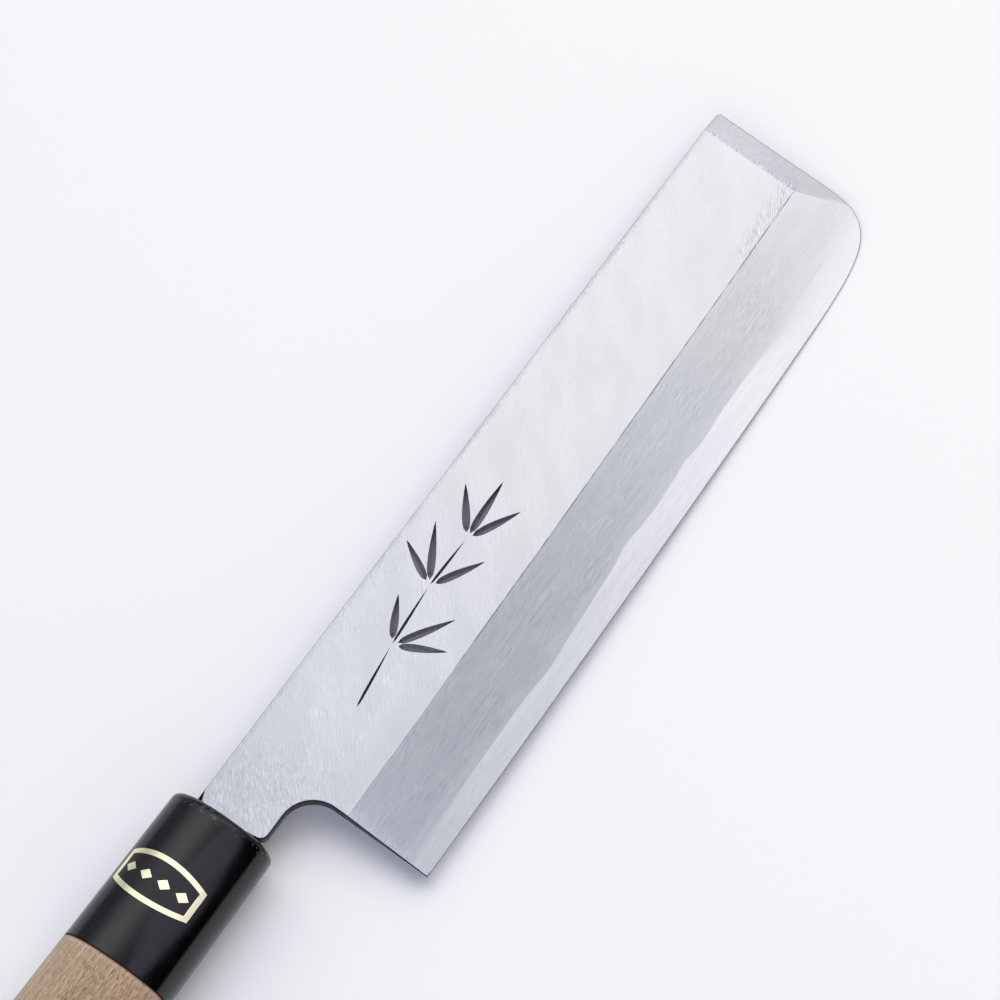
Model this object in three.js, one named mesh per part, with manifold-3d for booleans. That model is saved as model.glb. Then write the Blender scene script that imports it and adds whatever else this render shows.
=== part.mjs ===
// Usuba knife: a single-bevel vegetable knife with a horn ferrule and a ridged wooden handle.
// Millimetres. In the knife's own frame X runs from the ferrule's front face to the tip,
// +Y is the spine side, -Y the edge side, and +Z the front, which carries the bevel.

import * as THREE from "three";
import { mergeVertices, toCreasedNormals } from "three/addons/utils/BufferGeometryUtils.js";
import Module from "manifold-3d";

const wasm = await Module();
wasm.setup();

// Blade outline
const BLADE_LENGTH = 181.4; // shoulder to tip, along the spine
const SHOULDER_GAP = 1.2; // the blade's shoulder stands this far off the ferrule
const SPINE_Y = 7.4; // spine above the handle's axis
const HEEL_HEIGHT = 45.8; // spine to edge at the heel
const HEEL_SETBACK = 13.6; // shoulder to heel
const EDGE_RISE = 2.5; // the edge climbs this much from the heel to the tip's round
const EDGE_CURVE = 1.4; // power of that climb: nearly flat at the heel
const HEEL_LEAN = THREE.MathUtils.degToRad(1); // the heel leans back towards its corner
const TIP_LEAN = THREE.MathUtils.degToRad(1.8); // the tip line leans back towards the edge
const TIP_ROUND_LENGTH = 32.6; // where the tip's round leaves the edge, measured from the tip
const TIP_ROUND_HEIGHT = 28; // where it meets the tip line, measured from the spine
const TIP_ROUND_PULL = [25, 13.4]; // how far each end of the round runs on straight
const TIP_CORNER = 2.5; // size of the eased corner between spine and tip line
const NECK_HEIGHT = 15.8;
const NECK_CORNER = 2; // radius of the shoulder's lower corner
const CHOIL_RADIUS = 7.2; // finger curve between neck and heel

// Blade section
const SHOULDER_THICKNESS = 3.2;
const TIP_THICKNESS = 2;
const BEVEL_WIDTH = 19.7; // bevel line to edge
const EDGE_THICKNESS = 0.12;
const SPINE_EASE = 0.4; // eased corners along the spine
const TIP_BEVEL_WIDTH = 5.2;
const TIP_BEVEL_ANGLE = THREE.MathUtils.degToRad(13.5);

// Hollow-ground back
const HOLLOW_DEPTH = 0.4;
const HOLLOW_SPINE_RIM = 3.5; // flat rim left along the spine
const HOLLOW_EDGE_RIM = 3; // flat rim left along the edge
const HOLLOW_ENDS = [6, 9]; // flat left before the hollow at the heel and at the tip
const HOLLOW_RUN_OUT = 16; // length over which it reaches its full depth
const HOLLOW_STEPS = 10;

// Hard-steel layer: distance of its line on the bevel from the edge
const STEEL_LINE_HEEL = 5.05;
const STEEL_LINE_TIP = 6.12;
const STEEL_LINE_CLIMB = [70, 98]; // where it goes from one to the other
// Laps that the hammer left in that line: middle, rise and half width
const STEEL_LAPS = [[64, -0.5, 9], [94, 0.42, 5], [104, -0.28, 8], [115, 0.25, 4], [122, -0.28, 7]];
const STEEL_START = 11.5; // the layer begins here, behind the heel
const WELD_GAP = 0.01;

// Tang
const TANG_LENGTH = 98; // behind the ferrule's front face
const TANG_HEIGHTS = [12, 6]; // at the shoulder and at its end
const TANG_THICKNESSES = [3, 2];
const TANG_CLEARANCE = 0.05; // between tang, bedding and socket
const BEDDING_THICKNESS = 0.6;
const BEDDING_RECESS = 0.4; // the bedding stays this far inside the slot's mouth

// Handle: an oval with one raised ridge on its front, towards the edge side
const FERRULE_LENGTH = 36;
const HANDLE_LENGTH = 135;
const FRONT_SIZE = [23.8, 19.2]; // height and thickness at the ferrule's front
const BUTT_SIZE = [28, 22.6];
const RIDGE_ANGLE = THREE.MathUtils.degToRad(139);
const RIDGE_RISE = 0.1; // the ridge stands this share outside the oval
const RIDGE_REACH = THREE.MathUtils.degToRad(48);
const FERRULE_ROUND = 1.5; // rounded front rim
const BUTT_ROUND = 2;
const TENON_DIAMETER = 15.4;
const TENON_LENGTH = 22;
const GLUE_GAP = 0.1;

// Label on the ferrule: a cartouche with two bowed long sides
const LABEL_CENTRE = -18.5;
const LABEL_WIDTHS = [6.9, 10.4]; // at its ends and in its middle
const LABEL_FACETS = [-22, -3]; // it covers these facets of the ferrule, counted from the ridge
const LABEL_THICKNESS = 0.12;
const LABEL_GAP = 0.03;

// Fineness of the facets
const BLADE_STATION = 4;
const STEEL_STATION = 1.5;
const RING_POINTS = 72;
const ROUND_STEPS = 5;
const CURVE_STEPS = 12;

// Lengths that follow
const TIP_X = SHOULDER_GAP + BLADE_LENGTH;
const HEEL_X = SHOULDER_GAP + HEEL_SETBACK;
const ROUND_X = TIP_X - TIP_ROUND_LENGTH;
const BACK_Z = -SHOULDER_THICKNESS / 2;
const CUT_MARGIN = 2; // cutting bodies reach this far past what they cut
const EDGE_OVERRUN = 0.4; // the bevel runs on past the edge until the outline trims it

const lerp = THREE.MathUtils.lerp;
const smoothstep = THREE.MathUtils.smoothstep;

// Makes a closed body from rings of points that share one count. Each ring runs anticlockwise
// seen from the end towards which the rings advance, and flatten gives its points in that view.
function loft(rings, flatten = (p) => new THREE.Vector2(p.y, p.z)) {
  const count = rings[0].length;
  const positions = rings.flat().flatMap((point) => point.toArray());
  const index = [];
  for (let ring = 0; ring + 1 < rings.length; ring += 1) {
    for (let i = 0; i < count; i += 1) {
      const a = ring * count + i;
      const b = ring * count + ((i + 1) % count);
      index.push(a, b, b + count, a, b + count, a + count);
    }
  }
  const last = (rings.length - 1) * count;
  const cap = (ring) => THREE.ShapeUtils.triangulateShape(ring.map(flatten), []);
  for (const [a, b, c] of cap(rings[0])) {
    index.push(c, b, a);
  }
  for (const [a, b, c] of cap(rings.at(-1))) {
    index.push(last + a, last + b, last + c);
  }
  const geometry = new THREE.BufferGeometry();
  geometry.setAttribute("position", new THREE.Float32BufferAttribute(positions, 3));
  geometry.setIndex(index);
  return geometry;
}

function solid(geometry) {
  const bare = geometry.clone();
  bare.deleteAttribute("normal");
  bare.deleteAttribute("uv");
  const merged = mergeVertices(bare, 1e-4);
  return new wasm.Manifold(
    new wasm.Mesh({
      numProp: 3,
      vertProperties: new Float32Array(merged.attributes.position.array),
      triVerts: new Uint32Array(merged.index.array),
    }),
  );
}

function piece(name, body, look) {
  const made = body.getMesh();
  const geometry = new THREE.BufferGeometry();
  geometry.setAttribute("position", new THREE.Float32BufferAttribute(made.vertProperties, 3));
  geometry.setIndex(Array.from(made.triVerts));
  const creased = toCreasedNormals(geometry, THREE.MathUtils.degToRad(15));
  const mesh = new THREE.Mesh(creased, new THREE.MeshStandardMaterial(look));
  mesh.name = name;
  return mesh;
}

// Spine to edge at a station, along the edge as it would run on without the tip's round.
function bladeHeight(x) {
  const along = Math.max(0, (x - HEEL_X) / (ROUND_X - HEEL_X));
  return HEEL_HEIGHT - EDGE_RISE * along ** EDGE_CURVE;
}

function edgeY(x) {
  return SPINE_Y - bladeHeight(x);
}

function bladeThickness(x) {
  return lerp(SHOULDER_THICKNESS, TIP_THICKNESS, (x - SHOULDER_GAP) / BLADE_LENGTH);
}

function bevelSlope(x) {
  return (bladeThickness(x) - EDGE_THICKNESS) / BEVEL_WIDTH;
}

function heelLineX(y) {
  return HEEL_X + Math.tan(HEEL_LEAN) * (y - edgeY(HEEL_X));
}

function tipLineX(y) {
  return TIP_X - Math.tan(TIP_LEAN) * (SPINE_Y - y);
}

function stations(from, to, step = BLADE_STATION) {
  const count = Math.ceil((to - from) / step);
  return Array.from({ length: count + 1 }, (_, i) => lerp(from, to, i / count));
}

// How deep the hollow of the back is at a station: it runs out towards the heel and the tip.
function hollowDepth(x) {
  const start = HEEL_X + HOLLOW_ENDS[0];
  const end = TIP_X - HOLLOW_ENDS[1];
  const deepening = smoothstep(x, start, start + HOLLOW_RUN_OUT);
  const fading = smoothstep(x, end - HOLLOW_RUN_OUT, end);
  return HOLLOW_DEPTH * deepening * (1 - fading);
}

// One section of the blade, from the spine over the front to the edge and home along the back.
function bladeRing(x) {
  const top = BACK_Z + bladeThickness(x);
  const edge = edgeY(x);
  const ring = [
    [SPINE_Y, top - SPINE_EASE],
    [SPINE_Y - SPINE_EASE, top],
    [edge + BEVEL_WIDTH, top],
    [edge - EDGE_OVERRUN, BACK_Z + EDGE_THICKNESS - EDGE_OVERRUN * bevelSlope(x)],
    [edge - EDGE_OVERRUN, BACK_Z],
  ];
  const low = edge + HOLLOW_EDGE_RIM;
  const high = SPINE_Y - HOLLOW_SPINE_RIM;
  for (let i = 0; i <= HOLLOW_STEPS; i += 1) {
    const across = (2 * i) / HOLLOW_STEPS - 1;
    ring.push([lerp(low, high, i / HOLLOW_STEPS), BACK_Z + hollowDepth(x) * (1 - across ** 2)]);
  }
  ring.push([SPINE_Y - SPINE_EASE, BACK_Z], [SPINE_Y, BACK_Z + SPINE_EASE]);
  return ring.map(([y, z]) => new THREE.Vector3(x, y, z));
}

// The blade's outline seen from the front. It runs past the spine, which the sections shape.
function bladeOutline() {
  const outline = new THREE.Shape();
  const beyond = SPINE_Y + CUT_MARGIN;
  const neck = SPINE_Y - NECK_HEIGHT;
  const roundY = SPINE_Y - TIP_ROUND_HEIGHT;
  const choilX = heelLineX(neck - CHOIL_RADIUS);
  outline.moveTo(SHOULDER_GAP, beyond);
  outline.lineTo(SHOULDER_GAP, neck + NECK_CORNER);
  outline.quadraticCurveTo(SHOULDER_GAP, neck, SHOULDER_GAP + NECK_CORNER, neck);
  outline.lineTo(choilX - CHOIL_RADIUS, neck);
  outline.absarc(choilX - CHOIL_RADIUS, neck - CHOIL_RADIUS, CHOIL_RADIUS, Math.PI / 2, 0, true);
  for (const x of stations(HEEL_X, ROUND_X)) {
    outline.lineTo(x, edgeY(x));
  }
  outline.bezierCurveTo(
    ROUND_X + TIP_ROUND_PULL[0],
    edgeY(ROUND_X + TIP_ROUND_PULL[0]),
    tipLineX(roundY - TIP_ROUND_PULL[1]),
    roundY - TIP_ROUND_PULL[1],
    tipLineX(roundY),
    roundY,
  );
  outline.lineTo(tipLineX(SPINE_Y - TIP_CORNER), SPINE_Y - TIP_CORNER);
  outline.quadraticCurveTo(TIP_X, SPINE_Y + TIP_CORNER / 2, TIP_X - TIP_CORNER, beyond);
  return outline;
}

// The wedge taken off the front at the tip.
function tipBevelCut() {
  const length = 3 * TIP_BEVEL_WIDTH;
  const reach = 2 * HEEL_HEIGHT;
  const cut = new THREE.BoxGeometry(length, reach, length);
  cut.translate(length / 2, 0, length / 2);
  cut.rotateY(TIP_BEVEL_ANGLE);
  cut.rotateZ(-TIP_LEAN);
  const start = TIP_X - TIP_BEVEL_WIDTH;
  cut.translate(start, SPINE_Y, BACK_Z + bladeThickness(start));
  return cut;
}

function bladeBlank() {
  const body = solid(loft(stations(-CUT_MARGIN, TIP_X + CUT_MARGIN).map(bladeRing)));
  const prism = new THREE.ExtrudeGeometry(bladeOutline(), {
    depth: 2 * SHOULDER_THICKNESS,
    bevelEnabled: false,
    curveSegments: CURVE_STEPS,
  });
  prism.translate(0, 0, -SHOULDER_THICKNESS);
  return body.intersect(solid(prism)).subtract(solid(tipBevelCut()));
}

// How far the hard-steel layer's line lies from the edge: it wanders where the two were hammered.
function steelLine(x) {
  let height = lerp(STEEL_LINE_HEEL, STEEL_LINE_TIP, smoothstep(x, ...STEEL_LINE_CLIMB));
  for (const [middle, rise, reach] of STEEL_LAPS) {
    height += rise * (1 - smoothstep(Math.abs(x - middle), 0, reach));
  }
  return height;
}

// The space of the hard-steel layer, open towards the back and past every side of the blade.
function steelLayer(gap) {
  const rings = stations(STEEL_START - gap, TIP_X + CUT_MARGIN, STEEL_STATION).map((x) => {
    const top = BACK_Z + EDGE_THICKNESS + steelLine(x) * bevelSlope(x) + gap;
    const low = edgeY(HEEL_X) - CUT_MARGIN;
    const high = SPINE_Y + CUT_MARGIN;
    const ring = [
      [high, top],
      [low, top],
      [low, BACK_Z - CUT_MARGIN],
      [high, BACK_Z - CUT_MARGIN],
    ];
    return ring.map(([y, z]) => new THREE.Vector3(x, y, z));
  });
  return solid(loft(rings));
}

// The tang, or with a margin the space around it. It tapers both ways and is blunt at its end.
function tang(from, to, margin) {
  const ring = (x) => {
    const along = -x / TANG_LENGTH;
    const y = lerp(...TANG_HEIGHTS, along) / 2 + margin;
    const z = lerp(...TANG_THICKNESSES, along) / 2 + margin;
    return [[y, z], [-y, z], [-y, -z], [y, -z]].map(([a, b]) => new THREE.Vector3(x, a, b));
  };
  return solid(loft([ring(from), ring(to)]));
}

function bladeIron(blank) {
  const body = blank.subtract(steelLayer(WELD_GAP));
  return body.add(tang(-TANG_LENGTH, SHOULDER_GAP + NECK_CORNER, 0));
}

// Half of the handle's height or thickness at a station.
function gripHalf(axis, x) {
  return lerp(FRONT_SIZE[axis], BUTT_SIZE[axis], -x / HANDLE_LENGTH) / 2;
}

function gripPoint(x, angle, growth) {
  const turn = Math.abs(angle - RIDGE_ANGLE) % (2 * Math.PI);
  const away = Math.min(turn, 2 * Math.PI - turn);
  const swell = 1 + RIDGE_RISE * Math.max(0, 1 - away / RIDGE_REACH) ** 2;
  const y = (gripHalf(0, x) + growth) * swell * Math.cos(angle);
  const z = (gripHalf(1, x) + growth) * swell * Math.sin(angle);
  return new THREE.Vector3(x, y, z);
}

function ringAngle(i) {
  return RIDGE_ANGLE + (2 * Math.PI * i) / RING_POINTS;
}

function gripRing(x, growth) {
  return Array.from({ length: RING_POINTS }, (_, i) => gripPoint(x, ringAngle(i), growth));
}

// Rings of a rounded rim of the grip: its flat end is at x and its body lies towards inward.
function roundedEnd(x, inward, radius) {
  return Array.from({ length: ROUND_STEPS + 1 }, (_, i) => {
    const turn = (i / ROUND_STEPS) * (Math.PI / 2);
    return gripRing(x + inward * radius * (1 - Math.cos(turn)), radius * (Math.sin(turn) - 1));
  });
}

// A round peg along the handle's axis.
function peg(from, to, diameter) {
  const shape = new THREE.CylinderGeometry(diameter / 2, diameter / 2, to - from, RING_POINTS);
  shape.rotateZ(Math.PI / 2);
  shape.translate((from + to) / 2, 0, 0);
  return solid(shape);
}

const socketMargin = BEDDING_THICKNESS + 2 * TANG_CLEARANCE;
const tenonEnd = -FERRULE_LENGTH + TENON_LENGTH;
const mortiseEnd = -TANG_LENGTH - socketMargin;

function hornFerrule() {
  const front = roundedEnd(0, -1, FERRULE_ROUND).reverse();
  const body = solid(loft([gripRing(-FERRULE_LENGTH, 0), ...front]));
  const bore = peg(-FERRULE_LENGTH - CUT_MARGIN, tenonEnd + GLUE_GAP, TENON_DIAMETER + 2 * GLUE_GAP);
  return body.subtract(bore).subtract(tang(mortiseEnd, CUT_MARGIN, socketMargin));
}

function handleGrip() {
  const joint = -FERRULE_LENGTH - GLUE_GAP;
  const butt = roundedEnd(-HANDLE_LENGTH, 1, BUTT_ROUND);
  const body = solid(loft([...butt, gripRing(joint, 0)]));
  const tenon = peg(joint - CUT_MARGIN, tenonEnd, TENON_DIAMETER);
  return body.add(tenon).subtract(tang(mortiseEnd, CUT_MARGIN, socketMargin));
}

function tangBedding() {
  const outside = tang(mortiseEnd + TANG_CLEARANCE, -BEDDING_RECESS, socketMargin - TANG_CLEARANCE);
  return outside.subtract(tang(-TANG_LENGTH - TANG_CLEARANCE, CUT_MARGIN, TANG_CLEARANCE));
}

// The label's sections lie on the angles of the ferrule's facets, so that it follows them.
function ferruleLabel() {
  const outer = LABEL_GAP + LABEL_THICKNESS;
  const [first, last] = LABEL_FACETS;
  const rings = [];
  for (let i = first; i <= last; i += 1) {
    const across = (2 * (i - first)) / (last - first) - 1;
    const half = lerp(LABEL_WIDTHS[1], LABEL_WIDTHS[0], across ** 2) / 2;
    const corner = (side, growth) => gripPoint(LABEL_CENTRE + side * half, ringAngle(i), growth);
    rings.push([corner(1, LABEL_GAP), corner(1, outer), corner(-1, outer), corner(-1, LABEL_GAP)]);
  }
  return solid(loft(rings, (p) => new THREE.Vector2(p.x, Math.hypot(p.y, p.z))));
}

const blank = bladeBlank();
const knife = new THREE.Group();
knife.add(
  piece("blade_iron", bladeIron(blank), { color: 0xc9ced6, roughness: 0.38, metalness: 1 }),
  piece("blade_edge_steel", blank.intersect(steelLayer(0)), {
    color: 0xe2e5ea,
    roughness: 0.25,
    metalness: 1,
  }),
  piece("horn_ferrule", hornFerrule(), { color: 0x151415, roughness: 0.25, metalness: 0 }),
  piece("handle_grip", handleGrip(), { color: 0xb0946f, roughness: 0.7, metalness: 0 }),
  piece("tang_bedding", tangBedding(), { color: 0x4a3324, roughness: 0.4, metalness: 0 }),
  piece("ferrule_label", ferruleLabel(), { color: 0xb08d45, roughness: 0.35, metalness: 0.6 }),
);

// The part's origin is the middle of its box, on the surface that it lies on.
const box = new THREE.Box3().setFromObject(knife);
const middle = box.getCenter(new THREE.Vector3());
knife.position.set(-middle.x, -middle.y, -box.min.z);

const part = new THREE.Group();
part.add(knife);

export default part;
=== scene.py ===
"""Usuba knife: fine meshes, finishes, floor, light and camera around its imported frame."""

import math

import bmesh
import bpy
from mathutils import Matrix, Vector, kdtree
from mathutils.geometry import delaunay_2d_cdt, interpolate_bezier


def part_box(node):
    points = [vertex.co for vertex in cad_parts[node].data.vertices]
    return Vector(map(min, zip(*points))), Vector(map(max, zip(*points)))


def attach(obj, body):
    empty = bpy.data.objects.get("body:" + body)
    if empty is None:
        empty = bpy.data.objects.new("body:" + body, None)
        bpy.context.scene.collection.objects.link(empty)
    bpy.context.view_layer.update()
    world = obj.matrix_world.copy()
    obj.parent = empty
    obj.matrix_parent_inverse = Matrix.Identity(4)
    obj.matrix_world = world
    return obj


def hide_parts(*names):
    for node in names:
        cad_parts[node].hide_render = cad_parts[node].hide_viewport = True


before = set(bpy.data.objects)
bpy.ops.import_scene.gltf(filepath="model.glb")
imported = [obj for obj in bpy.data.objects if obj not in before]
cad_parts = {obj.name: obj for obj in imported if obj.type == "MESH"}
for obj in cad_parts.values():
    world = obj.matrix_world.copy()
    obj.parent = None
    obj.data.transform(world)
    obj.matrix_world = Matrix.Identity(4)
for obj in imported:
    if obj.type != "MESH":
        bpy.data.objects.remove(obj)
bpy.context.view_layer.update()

# The knife's own frame, in millimetres: X runs from the ferrule's front to the tip along the
# handle's axis, +Y is the spine side and +Z the front, which carries the bevel.
MM = 0.001
bedding_low, bedding_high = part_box("tang_bedding")
KNIFE_ORIGIN = (bedding_low + bedding_high) / 2
KNIFE_ORIGIN.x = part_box("horn_ferrule")[1].x

# Blade outline
BLADE_LENGTH = 181.4
SHOULDER_GAP = 1.2
SPINE_Y = 7.4
HEEL_HEIGHT = 45.8
HEEL_SETBACK = 13.6
EDGE_RISE = 2.5
EDGE_CURVE = 1.4
HEEL_LEAN = math.radians(1)
TIP_LEAN = math.radians(1.8)
TIP_ROUND_LENGTH = 32.6
TIP_ROUND_HEIGHT = 28
TIP_ROUND_PULL = (25, 13.4)
TIP_CORNER = 0.5
NECK_HEIGHT = 15.8
NECK_CORNER = 2
CHOIL_RADIUS = 7.2

# Blade section
SHOULDER_THICKNESS = 3.2
TIP_THICKNESS = 2
BEVEL_WIDTH = 19.7
EDGE_THICKNESS = 0.12
TIP_BEVEL_WIDTH = 5.2
TIP_BEVEL_ANGLE = math.radians(13.5)
RIM_RADIUS = 0.35  # eased rims of the spine, shoulder, neck, finger curve and heel
RIM_SHARE = 0.45  # a rim never takes more than this share of the blade's thickness
RIM_STEPS = (0.1, 0.3, 0.6, 1.0)  # lines that shape a rim, as shares of its radius
DARK_RIM = 0.2  # the walls' black comes this far over the neck's and heel's eased rims, as painted shade

# Hollow-ground back
HOLLOW_DEPTH = 0.4
HOLLOW_SPINE_RIM = 3.5
HOLLOW_EDGE_RIM = 3
HOLLOW_ENDS = (6, 9)  # it begins this far from the heel and ends this far from the tip
HOLLOW_RUN_OUT = 16

# Hard-steel layer: distance of its line on the bevel from the edge
STEEL_LINE_HEEL = 5.05
STEEL_LINE_TIP = 6.12
STEEL_LINE_CLIMB = (70, 98)
# Laps that the hammer left in that line: middle, rise and half width
STEEL_LAPS = ((64, -0.5, 9), (94, 0.42, 5), (104, -0.28, 8), (115, 0.25, 4), (122, -0.28, 7))
STEEL_START = 11.5

# Tang and its socket
TANG_LENGTH = 98
TANG_STEP = 0.1  # the tang's own thickness begins this far behind the shoulder
TANG_HEIGHTS = (12, 6)
TANG_THICKNESSES = (3, 2)
SOCKET_MARGIN = 0.7

# Handle
FERRULE_LENGTH = 36
HANDLE_LENGTH = 135
FRONT_SIZE = (23.8, 19.2)
BUTT_SIZE = (28, 22.6)
RIDGE_ANGLE = math.radians(139)
RIDGE_RISE = 0.1
RIDGE_REACH = math.radians(48)
RIDGE_SOFTNESS = math.radians(1.2)  # the ridge's crest is rounded over this turn
FERRULE_ROUND = 1.5
BUTT_ROUND = 2
TENON_DIAMETER = 15.4
TENON_LENGTH = 22
GLUE_GAP = 0.1
JOINT_EASE = 0.15  # eased rim of the wood at the joint

# Label on the ferrule
LABEL_CENTRE = -18.5
LABEL_WIDTHS = (6.9, 10.4)
LABEL_ARC = (math.radians(29), math.radians(124))
LABEL_GAP = 0.03
LABEL_HEIGHT = 0.15
FIELD_HEIGHT = 0.1
FRAME_BAND = 1.1
FRAME_END_BAND = 0.95  # the same at the label's two ends
FRAME_STEP = 0.08  # slope between the frame and the field
LOZENGE_COUNT = 4
LOZENGE_SIZE = (2.4, 2.7)  # along the knife and around the ferrule
LOZENGE_PITCH = 3.9
LOZENGE_RIM = 0.02  # its rim stands this far over the field's face
LOZENGE_FOOT = -0.03  # and its foot lies this far from it
LOZENGE_POINTS = 8

# Chiselled bamboo sprig on the flat. A stroke is its root, direction in degrees, length and width.
SPRIG_PLACE = (61, -4.6)
STROKE_DEPTH = 0.28
STROKE_STEPS = 12
STROKE_SHAPE = (0.6, 0.8)  # powers: full width near the root, and full sides
STEM_WIDTH = 0.6
STEM_JOINTS = ((-27, -2.6), (-12, -0.6), (2.5, 0.5), (15, 0.2))
STEM_SPACE = 0.9  # gap that marks a joint of the stem
LEAF_WIDTH = 1.7
LEAF_START = 1.4  # a leaf begins this far from the joint that carries it
LEAF_FANS = (
    (1, ((-32, 12.5), (-62, 10), (28, 9.5))),
    (2, ((30, 12.5), (60, 9.5), (-30, 11))),
    (3, ((36, 10.5), (4, 13), (-27, 11))),
)

# Fineness of the meshes
GRID = 3
GRID_CLEARANCE = 1
CREASE_STEP = 1
CORNER_PASSES = 4  # that find where the two bevels and the flat meet
STATION = 2
ARC_STEPS = 28
ROUND_STEPS = 48
RING_POINTS = 180
RIM_RINGS = 8
LABEL_ROWS = 30
BLADE_SHARP = math.radians(4)
HANDLE_SHARP = math.radians(18)
WELD = 1e-7
TINY = 1e-9  # stands for zero in a division

# Lengths that follow
TIP_X = SHOULDER_GAP + BLADE_LENGTH
HEEL_X = SHOULDER_GAP + HEEL_SETBACK
ROUND_X = TIP_X - TIP_ROUND_LENGTH
NECK_Y = SPINE_Y - NECK_HEIGHT
BACK_Z = -SHOULDER_THICKNESS / 2
LABEL_RADIUS = sum(FRONT_SIZE) / 4  # of the ferrule, on average
TENON_END = TENON_LENGTH - FERRULE_LENGTH
SOCKET_END = -TANG_LENGTH - SOCKET_MARGIN
BEYOND = 3  # crease lines run this far past the outline, which trims them
CREASE_END = TIP_X - 1.4  # the lines on the bevel end here, just past the tip's round

# Camera: where the picture's centre lies on the blade, and how the knife lies in the picture
PICTURE_CENTRE = (86.42, -5.3, 1.9)
CAMERA_DISTANCE = 1.0853
CAMERA_TILT = math.radians(19.5)
AXIS_TURN = math.radians(54.752)
LENS = 194.4
SENSOR = 36
CAMERA_REACH = 20

# Directions of the picture, in the knife's frame: to the right, up along the table, and out of it
PICTURE_RIGHT = Vector((math.cos(AXIS_TURN), -math.sin(AXIS_TURN), 0))
PICTURE_UP = Vector((math.sin(AXIS_TURN), math.cos(AXIS_TURN), 0))
PICTURE_OUT = Vector((0, 0, 1))

# The table. The knife lies on its ferrule and leans over until the edge's far end touches.
TABLE_NORMAL = Vector((-0.0287, 0.0896, 0.9956))
TABLE_HEIGHT = 0.003413
TABLE_SIZE = 6
TABLE_COLOUR = (0.93, 0.93, 0.93)
SHADE_COLOUR = (0.882, 0.893, 0.955)  # painted bluish shade of the table beside the knife, where it sees less of the room
CONTACT_COLOUR = (0.98, 0.98, 0.98)  # and close to it, painted paler to lift the contact shadow
SHADE_REACH = 0.045  # how far the table looks around itself for the knife
SHADE_SAMPLES = 4
SHADE_DEEP = (0.35, 0.65)  # openness of the table at which the tone changes close to the knife
SHADE_OPEN = (0.71, 0.94)  # and at which it fades out on the open table


def lerp(a, b, share):
    return a + (b - a) * share


def smoothstep(value, low, high):
    share = min(1, max(0, (value - low) / (high - low)))
    return share * share * (3 - 2 * share)


def heading(turn):
    return Vector((math.cos(turn), math.sin(turn)))


def place(point):
    return KNIFE_ORIGIN + Vector(point) * MM


def add_object(name, data):
    thing = bpy.data.objects.new(name, data)
    bpy.context.scene.collection.objects.link(thing)
    return thing


# Finishes


class Nodes:
    """A node tree, with the kinds of node that the finishes and the room share."""

    def __init__(self, tree):
        self.tree = tree

    def add(self, kind, **settings):
        node = self.tree.nodes.new(kind)
        for name, value in settings.items():
            setattr(node, name, value)
        return node

    def feed(self, socket, value):
        if isinstance(value, bpy.types.NodeSocket):
            self.tree.links.new(value, socket)
        else:
            socket.default_value = value

    def math(self, operation, *values):
        node = self.add("ShaderNodeMath", operation=operation)
        for socket, value in zip(node.inputs, values):
            self.feed(socket, value)
        return node.outputs[0]

    def plus(self, a, b):
        return self.math("ADD", a, b)

    def minus(self, a, b):
        return self.math("SUBTRACT", a, b)

    def times(self, a, b):
        return self.math("MULTIPLY", a, b)

    def ramp(self, value, low, high, first=0.0, last=1.0):
        """Goes smoothly from first to last while a value goes from low to high."""
        node = self.add("ShaderNodeMapRange", interpolation_type="SMOOTHSTEP")
        for socket, setting in zip(node.inputs, (value, low, high, first, last)):
            self.feed(socket, setting)
        return node.outputs[0]

    def fade(self, value, low, high, first=1.0):
        return self.ramp(value, low, high, first, 0.0)


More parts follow.
